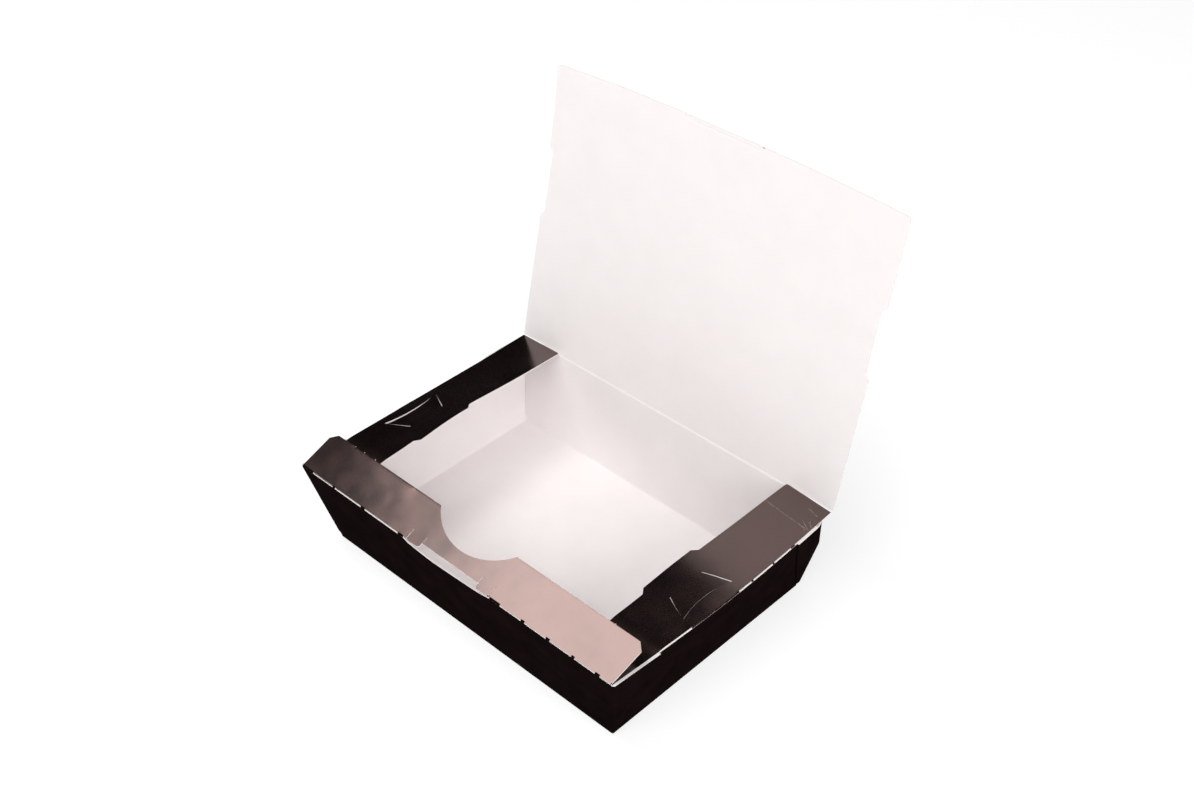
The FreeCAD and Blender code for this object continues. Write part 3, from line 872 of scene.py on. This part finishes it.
def slot_outline():
    """The free edge in the slot: the recess for the tab, with a lip at each end."""
    lip = LIP_RECESS + FRONT_ROOT
    recess = RECESS_DEPTH + FRONT_ROOT
    corners = np.array([
        (SLOT_LEFT + SLOT_END, lip),
        (-RECESS_HALF, lip),
        (-RECESS_HALF, recess),
        (RECESS_HALF, recess),
        (RECESS_HALF, lip),
        (SLOT_RIGHT - SLOT_END, lip),
    ])
    return rounded(corners, {1: LIP_ROUND, 4: LIP_ROUND})


def thumb_outline():
    """The thumb notch, from right to left."""
    radius = (THUMB_WIDTH ** 2 / 4 + THUMB_DEPTH ** 2) / (2 * THUMB_DEPTH)
    sweep = math.degrees(math.asin(THUMB_WIDTH / 2 / radius))
    centre = (0.0, FRONT_WIDTH - THUMB_DEPTH + radius)
    return arc(centre, radius, 270 + sweep, 270 - sweep, THUMB_STEPS)


def nick_outline(x):
    """A burr left by a nick in the cutting knife, from right to left."""
    free = FRONT_WIDTH
    return np.array([(x + NICK_HALF, free), (x, free + NICK_REACH), (x - NICK_HALF, free)])


def front_flap_outline():
    """The front flap's outline in (x, v), anticlockwise from the left end of its root."""
    end = FRONT_END
    free = FRONT_WIDTH
    left_cuts = [cut for cut in FRONT_CUTS if cut[1] < SLOT_LEFT]
    right_cuts = [cut for cut in FRONT_CUTS if cut[0] > SLOT_RIGHT]
    left_root = cut_root(left_cuts, (-end, SLOT_LEFT), FRONT_CREASE_END, FRONT_ROOT)
    right_root = cut_root(right_cuts, (SLOT_RIGHT, end), FRONT_CREASE_END, RIGHT_FRONT_ROOT)
    bevel = np.array([
        (end, 0.0),
        (end, free - FRONT_BEVEL),
        (end - FRONT_BEVEL, free),
        (0.0, free),
    ])
    right = rounded(bevel, {1: FRONT_ROUND, 2: FRONT_ROUND}, BEVEL_STEPS)[1:-1]
    left = (right * (-1, 1))[::-1]
    nicks = sorted(NICKS, reverse=True)
    right_nicks = [nick_outline(x) for x in nicks if x > 0]
    left_nicks = [nick_outline(x) for x in nicks if x < 0]
    return np.vstack([left_root, slot_outline(), right_root, right, *right_nicks,
                      thumb_outline(), *left_nicks, left])


def slit_outline(x, low, high):
    """A straight knife cut up the front flap."""
    half = KNIFE_SLIT / 2
    return np.array([(x - half, low), (x + half, low), (x + half, high), (x - half, high)])


def build_front_flap(materials):
    """The front flap, with the thumb notch, and the slot's recess, lips and slits."""
    low = LIP_RECESS + FRONT_ROOT + LIP_SLIT_START
    slits = [slit_outline(side * place, low, LIP_SLIT_END)
             for side in (-1, 1) for place in (RECESS_HALF, RECESS_HALF + LIP_WIDTH)]
    rows = mesh_rows(FRONT_ROW_HALF, FRONT_ROW_STEP, FRONT_ROWS)
    return panel("front_flap_board", materials, front_flap_outline(), front_flap_surface(), slits, rows)


def front_flap_surface():
    """The front flap as it stands at rest."""
    return hinged(hinge_point("front_flap_hinge"), FRONT_TILT, 1, front_flap_lift)


def build_front_crease(materials):
    """The short bridges of board between the cuts of the front crease."""
    section, ways = crease_section(-wall_half(RIM_Y, END_INSET, RIM_Z), front_flap_surface(),
                                   FRONT_CREASE_END)
    normals = np.column_stack((-ways[:, 1], ways[:, 0]))
    cuts = (*FRONT_CUTS, (SLOT_LEFT, SLOT_RIGHT))
    runs = [np.linspace(first, last, max(2, math.ceil((last - first) / CREASE_STEP) + 1))
            for first, last in whole_spans(cuts, (-FRONT_END, FRONT_END))]
    return swept("front_crease", materials, section, normals, runs)


def crease_section(wall, surface, root_v):
    """The bend from the top of the end wall at Y = wall to a panel's root, with its directions."""
    root = surface(np.array([(0.0, root_v), (0.0, root_v + SLOPE_STEP)]))[:, 1:]
    end_way = (root[1] - root[0]) / np.linalg.norm(root[1] - root[0])
    start = np.array((wall, RIM_Z - OVERLAP))
    outward = math.copysign(1.0, wall)
    start_way = np.array((outward * math.sin(lean(END_INSET)), math.cos(lean(END_INSET))))
    return bend(start, start_way, root[0], end_way, CREASE_POINTS)


def bend(start, start_way, end, end_way, steps):
    """A smooth curve from start to end, with its directions."""
    reach = np.linalg.norm(end - start) * BEND_REACH
    share = np.linspace(0.0, 1.0, steps)[:, None]
    curve = (
        start * (2 * share ** 3 - 3 * share ** 2 + 1)
        + start_way * reach * (share ** 3 - 2 * share ** 2 + share)
        + end * (-2 * share ** 3 + 3 * share ** 2)
        + end_way * reach * (share ** 3 - share ** 2)
    )
    ways = np.gradient(curve, axis=0)
    ways[0], ways[-1] = start_way, end_way
    return curve, ways / np.linalg.norm(ways, axis=1)[:, None]


def lid_half(v):
    """Half the lid's width at a distance v from its hinge."""
    return LID_ROOT_HALF + (LID_FREE_HALF - LID_ROOT_HALF) * v / LID_LENGTH


def tab_reach():
    """The distance along the lid from its hinge to the tab's hinge."""
    lid_y, lid_z = hinge_point("lid_hinge")
    tab_y, tab_z = hinge_point("tab_hinge")
    return math.hypot(tab_y - lid_y, tab_z - lid_z)


def lid_free_edge(x):
    """The lid's bowed free edge: v at a distance x from its middle."""
    radius = (LID_FREE_HALF ** 2 + LID_BOW ** 2) / (2 * LID_BOW)
    return LID_LENGTH + LID_BOW - radius + np.sqrt(radius ** 2 - x ** 2)


def lid_outline():
    """The lid's outline in (u, v), anticlockwise from the left end of its root."""
    end = NOTCH_START + NOTCH_LENGTH
    inner = lid_half(NOTCH_START + NOTCH_LENGTH / 2) - NOTCH_DEPTH
    fold = tab_reach() - TAB_FOLD_TANGENT - TAB_FOLD_OVERLAP
    corner = LID_FREE_HALF - LID_CORNER
    side = np.array([
        (lid_half(LID_ROOT), LID_ROOT),
        (lid_half(NOTCH_START), NOTCH_START),
        (inner, NOTCH_START + NOTCH_SLANT),
        (inner, end),
        (lid_half(end), end),
        (LID_FREE_HALF, LID_LENGTH),
        (corner, lid_free_edge(corner)),
    ])
    radii = {2: NOTCH_SLANT_ROUND, 3: NOTCH_SQUARE_ROUND, 4: NOTCH_ROUND, 5: LID_ROUND}
    across = np.linspace(LID_FREE_HALF - LID_EDGE_START, TAB_CUT_HALF, LID_EDGE_POINTS)
    bow = np.column_stack((across, lid_free_edge(across)))
    half = np.vstack([rounded(side, radii), bow, [(TAB_CUT_HALF, fold)]])
    return np.vstack([half, (half * (-1, 1))[::-1]])


def lid_lift(x, v):
    """The lid's slight warp, and the score below the tuck tab."""
    share = v / LID_LENGTH
    across = (x / LID_FREE_HALF) ** 2
    rate_x, rate_v = LID_WAVE_RATES
    start_x, length_x = LID_DROOP_ALONG
    start_v, length_v = LID_DROOP_UP
    camber = LID_CAMBER * across * share
    droop = LID_DROOP * smooth((-x - start_x) / length_x) * smooth((v - start_v) / length_v)
    wave = LID_WAVE * np.sin(x * rate_x + v * rate_v) * np.sin(math.pi * share)
    score_v = LID_LENGTH + LID_BOW - (TAB_SCORE + LID_BOW * across)
    score = np.exp(-((v - score_v) / SCORE_HALF) ** 2) * smooth((TAB_CUT_HALF - np.abs(x)) / SCORE_END)
    return camber + droop + wave - SCORE_DEPTH * score


def lid_surface():
    """The lid as it stands at rest. Its u runs to the left, seen from the front."""
    return hinged(hinge_point("lid_hinge"), 90.0 - LID_LEAN, -1, lid_lift)


def build_lid(materials):
    """The lid, with its side notches and the cut and score for the tuck tab."""
    score = LID_LENGTH + LID_BOW - TAB_SCORE
    rows = mesh_rows(SCORE_ROW_HALF, SCORE_ROW_STEP, [score + dv for dv in SCORE_ROWS])
    return panel("lid_board", materials, lid_outline(), lid_surface(), extra=rows)


def build_lid_crease(materials):
    """The crease between the back wall and the lid, between the round corners."""
    section, ways = crease_section(wall_half(RIM_Y, END_INSET, RIM_Z), lid_surface(), LID_ROOT)
    normals = np.column_stack((ways[:, 1], -ways[:, 0]))
    half = RIM_X - RIM_ROUND
    places = np.linspace(half, -half, LID_CREASE_POINTS)
    return swept("lid_crease", materials, section, normals, [places])


def tab_place():
    """The tuck tab's hinge, and its angle up from level at rest."""
    return hinge_point("tab_hinge"), 90.0 - LID_LEAN - TAB_FOLD


def build_tab(materials):
    """The tuck tab, folded back behind the lid."""
    hinge, angle = tab_place()
    half = np.array([
        (TAB_HALF, TAB_FOLD_TANGENT + TAB_FOLD_OVERLAP),
        (TAB_HALF, TAB_NECK),
        (TAB_TIP_HALF, TAB_LENGTH),
        (0.0, TAB_LENGTH),
    ])
    half = rounded(half, {1: TAB_NECK_ROUND, 2: TAB_ROUND})
    outline = np.vstack([half, (half[:-1] * (-1, 1))[::-1]])
    return panel("tuck_tab_board", materials, outline, hinged(hinge, angle, -1))


def build_tab_crease(materials):
    """The fold between the lid and the tuck tab."""
    hinge, _ = tab_place()
    lid_angle = math.radians(90.0 - LID_LEAN)
    lid_way = np.array((math.cos(lid_angle), math.sin(lid_angle)))
    start = np.array(hinge) - lid_way * TAB_FOLD_TANGENT
    angles = lid_angle - np.radians(np.linspace(0.0, TAB_FOLD, TAB_FOLD_POINTS))
    normals = np.column_stack((np.sin(angles), -np.cos(angles)))
    centre = start + np.array((lid_way[1], -lid_way[0])) * TAB_FOLD_RADIUS
    section = centre - normals * TAB_FOLD_RADIUS
    places = np.linspace(TAB_HALF, -TAB_HALF, TAB_CREASE_POINTS)
    return swept("tab_crease", materials, section, normals, [places])


# Noise in the materials: scale in cycles for each metre, detail and roughness.
PRINT_MOTTLE = (90.0, 4.0, 0.6)
WORN_THREADS = (700.0, 4.0, 0.6)
GLOSS_PATCHES = (38.0, 5.0, 0.65)
WHITE_CLOUD = (45.0, 5.0, 0.6)
WHITE_PATCHES = (220.0, 3.0, 0.6)
CUT_GRAIN = (1600.0, 3.0, 0.6)
FIBRES = (1.0, 4.0, 0.6)

# Bumps: noise as above and its depth in metres, or for fibres their scale along
# X, Y and Z and their depth.
SOFT_WAVES = ((26.0, 2.0, 0.5), 0.0006)
ORANGE_PEEL = ((1400.0, 2.0, 0.5), 0.000002)
VARNISH_FIBRES = ((700.0, 1500.0, 1500.0), 0.000003)
WHITE_WAVES = ((30.0, 2.0, 0.5), 0.0003)
WHITE_FIBRES = ((600.0, 1300.0, 1300.0), 0.00002)
CUT_BUMPS = (CUT_GRAIN, 0.00004)

# The part of a noise's range that a colour or a roughness runs over.
NOISE_LOW = 0.3
NOISE_HIGH = 0.7

# The black print: its darker and lighter colour for each unit of tone, how the
# roughness varies, and the colours of the varnish's two reflections.
DARK_PRINT = (0.8, 0.45, 0.46)
LIGHT_PRINT = (1.3, 0.75, 0.77)
SMOOTHER = 0.05
ROUGHER = 0.07
PRINT_TINT = (1.0, 0.62, 0.54, 1.0)
VARNISH_TINT = (1.0, 0.9, 0.88, 1.0)
VARNISH_IOR = 1.5

# Where the varnish is worn: its colour, the noise's range that shows it, the
# least wear that shows, and the most that the colour covers.
WORN_COLOUR = (0.42, 0.38, 0.36)
WORN_RANGE = (0.35, 0.6)
WORN_START = 0.2
WORN_MOST = 0.42

# The white side and the cut edge: darker and lighter colour, and roughness.
WHITE_COLOURS = ((0.86, 0.815, 0.81), (0.89, 0.845, 0.84))
WHITE_ROUGHNESS = (0.55, 0.7)
WHITE_SPECULAR = 0.3
EDGE_COLOURS = ((0.8, 0.76, 0.74), (0.9, 0.87, 0.85))
EDGE_ROUGHNESS = 0.8
EDGE_SPECULAR = 0.2


class Nodes:
    """A short way to write a material's nodes."""

    def __init__(self, name):
        self.material = bpy.data.materials.new(name)
        self.material.use_nodes = True
        self.tree = self.material.node_tree
        self.shader = self.tree.nodes["Principled BSDF"]
        self.place = self.add("ShaderNodeTexCoord").outputs["Object"]

    def add(self, kind, **values):
        node = self.tree.nodes.new(kind)
        for name, value in values.items():
            setattr(node, name, value)
        return node

    def link(self, source, target):
        self.tree.links.new(source, target)

    def noise(self, scale, detail, rough, place=None):
        node = self.add("ShaderNodeTexNoise")
        for name, value in zip(("Scale", "Detail", "Roughness"), (scale, detail, rough)):
            node.inputs[name].default_value = value
        self.link(place or self.place, node.inputs["Vector"])
        return node.outputs["Fac"]

    def ramp(self, value, dark, light):
        """Two colours, dark at NOISE_LOW and light at NOISE_HIGH."""
        node = self.add("ShaderNodeValToRGB")
        stops = ((NOISE_LOW, dark), (NOISE_HIGH, light))
        for element, (position, colour) in zip(node.color_ramp.elements, stops):
            element.position = position
            element.color = (*colour, 1.0)
        self.link(value, node.inputs["Fac"])
        return node.outputs["Color"]

    def mapped(self, value, low, high, to_low, to_high):
        node = self.add("ShaderNodeMapRange")
        numbers = {"From Min": low, "From Max": high, "To Min": to_low, "To Max": to_high}
        for name, number in numbers.items():
            node.inputs[name].default_value = number
        self.link(value, node.inputs["Value"])
        return node.outputs["Result"]

    def product(self, first, second):
        node = self.add("ShaderNodeMath", operation="MULTIPLY")
        self.link(first, node.inputs[0])
        self.link(second, node.inputs[1])
        return node.outputs["Value"]

    def mixed(self, share, linked, colour):
        """From a linked colour at a share of 0 to an even colour at 1."""
        node = self.add("ShaderNodeMix", data_type="RGBA")
        first, second = [s for s in node.inputs if s.type == "RGBA"]
        self.link(share, node.inputs["Factor"])
        self.link(linked, first)
        second.default_value = (*colour, 1.0)
        return [s for s in node.outputs if s.type == "RGBA"][0]

    def bump(self, waves, fibres=None):
        """Bumps laid over each other: noise first, then fibres along X."""
        heights = [(self.noise(*noise), depth) for noise, depth in waves]
        if fibres:
            node = self.add("ShaderNodeMapping")
            node.inputs["Scale"].default_value = fibres[0]
            self.link(self.place, node.inputs["Vector"])
            heights.append((self.noise(*FIBRES, node.outputs["Vector"]), fibres[1]))
        normal = None
        for height, depth in heights:
            node = self.add("ShaderNodeBump")
            node.inputs["Distance"].default_value = depth
            self.link(height, node.inputs["Height"])
            if normal is not None:
                self.link(normal, node.inputs["Normal"])
            normal = node.outputs["Normal"]
        self.link(normal, self.shader.inputs["Normal"])

    def set(self, values):
        """Set even values on the shader's own sockets."""
        for name, value in values.items():
            self.shader.inputs[name].default_value = value


# The varnish on the walls and on the flaps: tone of the print, roughness,
# specular level and coat weight. The walls' copy is painted shade: it is the same
# board as the flaps, but it has no sheen at all and a lighter print tone, so the
# walls stay dark as if in shade. The creases, the lid and the tab use it too.
SHADED_DULL_VARNISH = (0.0065, 0.5, 0.0, 0.0)
FLAP_VARNISH = (0.003, 0.18, 1.0, 1.0)


def varnish_material(name, tone, roughness, specular, coat):
    """Black print under gloss varnish: fine orange peel, soft waves and worn cracks. With no specular
    and no coat, as on the walls, the gloss is taken off as painted shade.
    """
    nodes = Nodes(name)
    dark, light = (tuple(tone * share for share in shares) for shares in (DARK_PRINT, LIGHT_PRINT))
    colour = nodes.ramp(nodes.noise(*PRINT_MOTTLE), dark, light)
    threads = nodes.mapped(nodes.noise(*WORN_THREADS), *WORN_RANGE, 0.0, 1.0)
    wear = nodes.add("ShaderNodeAttribute", attribute_name="wear").outputs["Fac"]
    wear = nodes.product(threads, nodes.mapped(wear, WORN_START, 1.0, 0.0, WORN_MOST))
    nodes.link(nodes.mixed(wear, colour, WORN_COLOUR), nodes.shader.inputs["Base Color"])
    patches = nodes.mapped(nodes.noise(*GLOSS_PATCHES), NOISE_LOW, NOISE_HIGH,
                           roughness - SMOOTHER, roughness + ROUGHER)
    nodes.link(patches, nodes.shader.inputs["Roughness"])
    nodes.set({
        "Specular IOR Level": specular,
        "Specular Tint": PRINT_TINT,
        "Coat Weight": coat,
        "Coat Roughness": roughness,
        "Coat IOR": VARNISH_IOR,
        "Coat Tint": VARNISH_TINT,
    })
    nodes.bump([SOFT_WAVES, ORANGE_PEEL], VARNISH_FIBRES)
    return nodes.material


def white_material():
    """Uncoated white board: faint fibres and cloudiness."""
    nodes = Nodes("white_board")
    colour = nodes.ramp(nodes.noise(*WHITE_CLOUD), *WHITE_COLOURS)
    nodes.link(colour, nodes.shader.inputs["Base Color"])
    patches = nodes.mapped(nodes.noise(*WHITE_PATCHES), NOISE_LOW, NOISE_HIGH, *WHITE_ROUGHNESS)
    nodes.link(patches, nodes.shader.inputs["Roughness"])
    nodes.set({"Specular IOR Level": WHITE_SPECULAR})
    nodes.bump([WHITE_WAVES], WHITE_FIBRES)
    return nodes.material


def edge_material():
    """The raw cut edge of the board, a little rough."""
    nodes = Nodes("cut_edge")
    colour = nodes.ramp(nodes.noise(*CUT_GRAIN), *EDGE_COLOURS)
    nodes.link(colour, nodes.shader.inputs["Base Color"])
    nodes.set({"Roughness": EDGE_ROUGHNESS, "Specular IOR Level": EDGE_SPECULAR})
    nodes.bump([CUT_BUMPS])
    return nodes.material


def dress(piece, slot, *nodes):
    """Hide the nodes of the solids that a piece replaces. The piece and the slot are not used."""
    if nodes:
        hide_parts(*nodes)


def build_box():
    """Every piece; all but the creases are attached to their bodies.
    """
    white = white_material()
    edge = edge_material()
    # The walls' material is the flaps' varnish with its sheen taken off: painted shade on the walls and
    # the creases.
    walls = (varnish_material("black_varnish_painted_shade", *SHADED_DULL_VARNISH), white, edge)
    flaps = (varnish_material("black_varnish_flaps", *FLAP_VARNISH), white, edge)

    tray = build_tray(walls)
    dress(tray, "black_board", "tray")
    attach(tray, "tray")
    for name, side in (("side_flap_right", 1), ("side_flap_left", -1)):
        flap = build_side_flap(name, side, flaps)
        dress(flap, "black_board", "tray")
        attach(flap, "tray")
        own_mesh(flap)

    front = build_front_flap(flaps)
    dress(front, "black_board", "front_flap")
    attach(front, "front_flap")
    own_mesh(front)
    bridges, section = build_front_crease(walls)
    dress(bridges, "black_board")
    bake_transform(bridges)

    lid = build_lid(walls)
    dress(lid, "white_board", "lid")
    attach(lid, "lid")
    crease, section = build_lid_crease(walls)
    dress(crease, "white_board")
    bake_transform(crease)

    tab = build_tab(walls)
    dress(tab, "black_board", "tuck_tab")
    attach(tab, "tuck_tab")
    fold, section = build_tab_crease(walls)
    dress(fold, "white_board")
    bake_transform(fold)


# The camera, from the photograph's angle.
CAMERA_AZIMUTH = 44.58
CAMERA_ELEVATION = 38.10
CAMERA_ROLL = -0.84
CAMERA_PLACE = (453.0, -434.8, 593.2)
CAMERA_LENS = 50.87
SENSOR_WIDTH = 36.0
CAMERA_REACH = 50.0


def make_camera():
    """The camera, with its roll about its own line of sight."""
    data = bpy.data.cameras.new("camera")
    data.lens = CAMERA_LENS
    data.sensor_width = SENSOR_WIDTH
    data.clip_end = CAMERA_REACH
    azimuth = math.radians(CAMERA_AZIMUTH)
    elevation = math.radians(CAMERA_ELEVATION)
    roll = math.radians(CAMERA_ROLL)
    turn = (
        Matrix.Rotation(azimuth, 4, "Z")
        @ Matrix.Rotation(math.pi / 2 - elevation, 4, "X")
        @ Matrix.Rotation(roll, 4, "Z")
    )
    camera = placed("camera", data)
    camera.matrix_world = Matrix.Translation(Vector(CAMERA_PLACE) * MM) @ turn
    bpy.context.scene.camera = camera


# The stage: a round floor whose edge turns up into a low wall. Sizes in metres.
FLOOR_RADIUS = 3.0
FLOOR_DROP = 0.0002
WALL_HEIGHT = 0.6
TURN_RADIUS = 0.4
STAGE_TURN_STEPS = 12
STAGE_STEPS = 96
STAGE_GREY = (0.5, 0.5, 0.5, 1.0)
STAGE_ROUGHNESS = 0.9
STAGE_GLOW = 0.68


def stage_mesh():
    """The floor and wall as one mesh, turned round the middle."""
    turn = arc((FLOOR_RADIUS - TURN_RADIUS, TURN_RADIUS), TURN_RADIUS, 270, 360, STAGE_TURN_STEPS)
    rings = [(FLOOR_RADIUS - TURN_RADIUS, 0.0), *turn.tolist(), (FLOOR_RADIUS, WALL_HEIGHT)]
    points = []
    for radius, height in rings:
        circle = arc((0.0, 0.0), radius, 0, 360, STAGE_STEPS)[:-1]
        points += [(x, y, height) for x, y in circle.tolist()]
    points.append((0.0, 0.0, 0.0))
    faces = [face[::-1] for face in ring_faces(len(rings), STAGE_STEPS)]
    mesh = bpy.data.meshes.new("stage")
    mesh.from_pydata(points, [], faces)
    mesh.polygons.foreach_set("use_smooth", [True] * len(faces))
    return mesh


def make_stage():
    """A pale floor that glows a little, so that it is as white as in the photograph."""
    nodes = Nodes("stage")
    nodes.set({
        "Base Color": STAGE_GREY,
        "Roughness": STAGE_ROUGHNESS,
        "Specular IOR Level": 0.0,
        "Emission Color": (1.0, 1.0, 1.0, 1.0),
        "Emission Strength": STAGE_GLOW,
    })
    mesh = stage_mesh()
    mesh.materials.append(nodes.material)
    floor = placed("stage", mesh)
    floor.location.z = -FLOOR_DROP


# Lamps: direction from the tray, distance and size in metres, and radiance,
# where 1 is white.
LAMPS = {
    "key": ((-0.42, -0.115, 0.873), 1.6, (0.8, 0.66), 5.7),
    "front_fill": ((0.2, -0.7, 0.7), 2.0, (1.4, 1.0), 3.6),
    "right_fill": ((0.85, -0.25, 0.5), 2.0, (1.4, 1.0), 4.3),
    "top": ((0.1, 0.15, 1.0), 1.8, (1.2, 1.2), 1.0),
}
LAMP_TARGET = (0.0, 0.0, 0.05)
WORLD_COLOUR = (1.0, 0.99, 0.985, 1.0)
WORLD_STRENGTH = 0.01


def area_light(name, direction, distance, size, radiance):
    """A soft box that looks at the tray."""
    data = bpy.data.lights.new(name, "AREA")
    data.shape = "RECTANGLE"
    data.size, data.size_y = size
    data.energy = radiance * size[0] * size[1] * math.pi
    lamp = placed(name, data)
    way = Vector(direction).normalized()
    lamp.location = Vector(LAMP_TARGET) + way * distance
    lamp.rotation_euler = way.to_track_quat("Z", "Y").to_euler()


def make_lights():
    """The lamps, and a world that is almost dark."""
    world = bpy.data.worlds.new("studio")
    bpy.context.scene.world = world
    world.use_nodes = True
    background = world.node_tree.nodes["Background"]
    background.inputs["Color"].default_value = WORLD_COLOUR
    background.inputs["Strength"].default_value = WORLD_STRENGTH
    for name, lamp in LAMPS.items():
        area_light(name, *lamp)


bpy.context.scene.view_settings.view_transform = "Standard"
build_box()
make_camera()
make_stage()
make_lights()
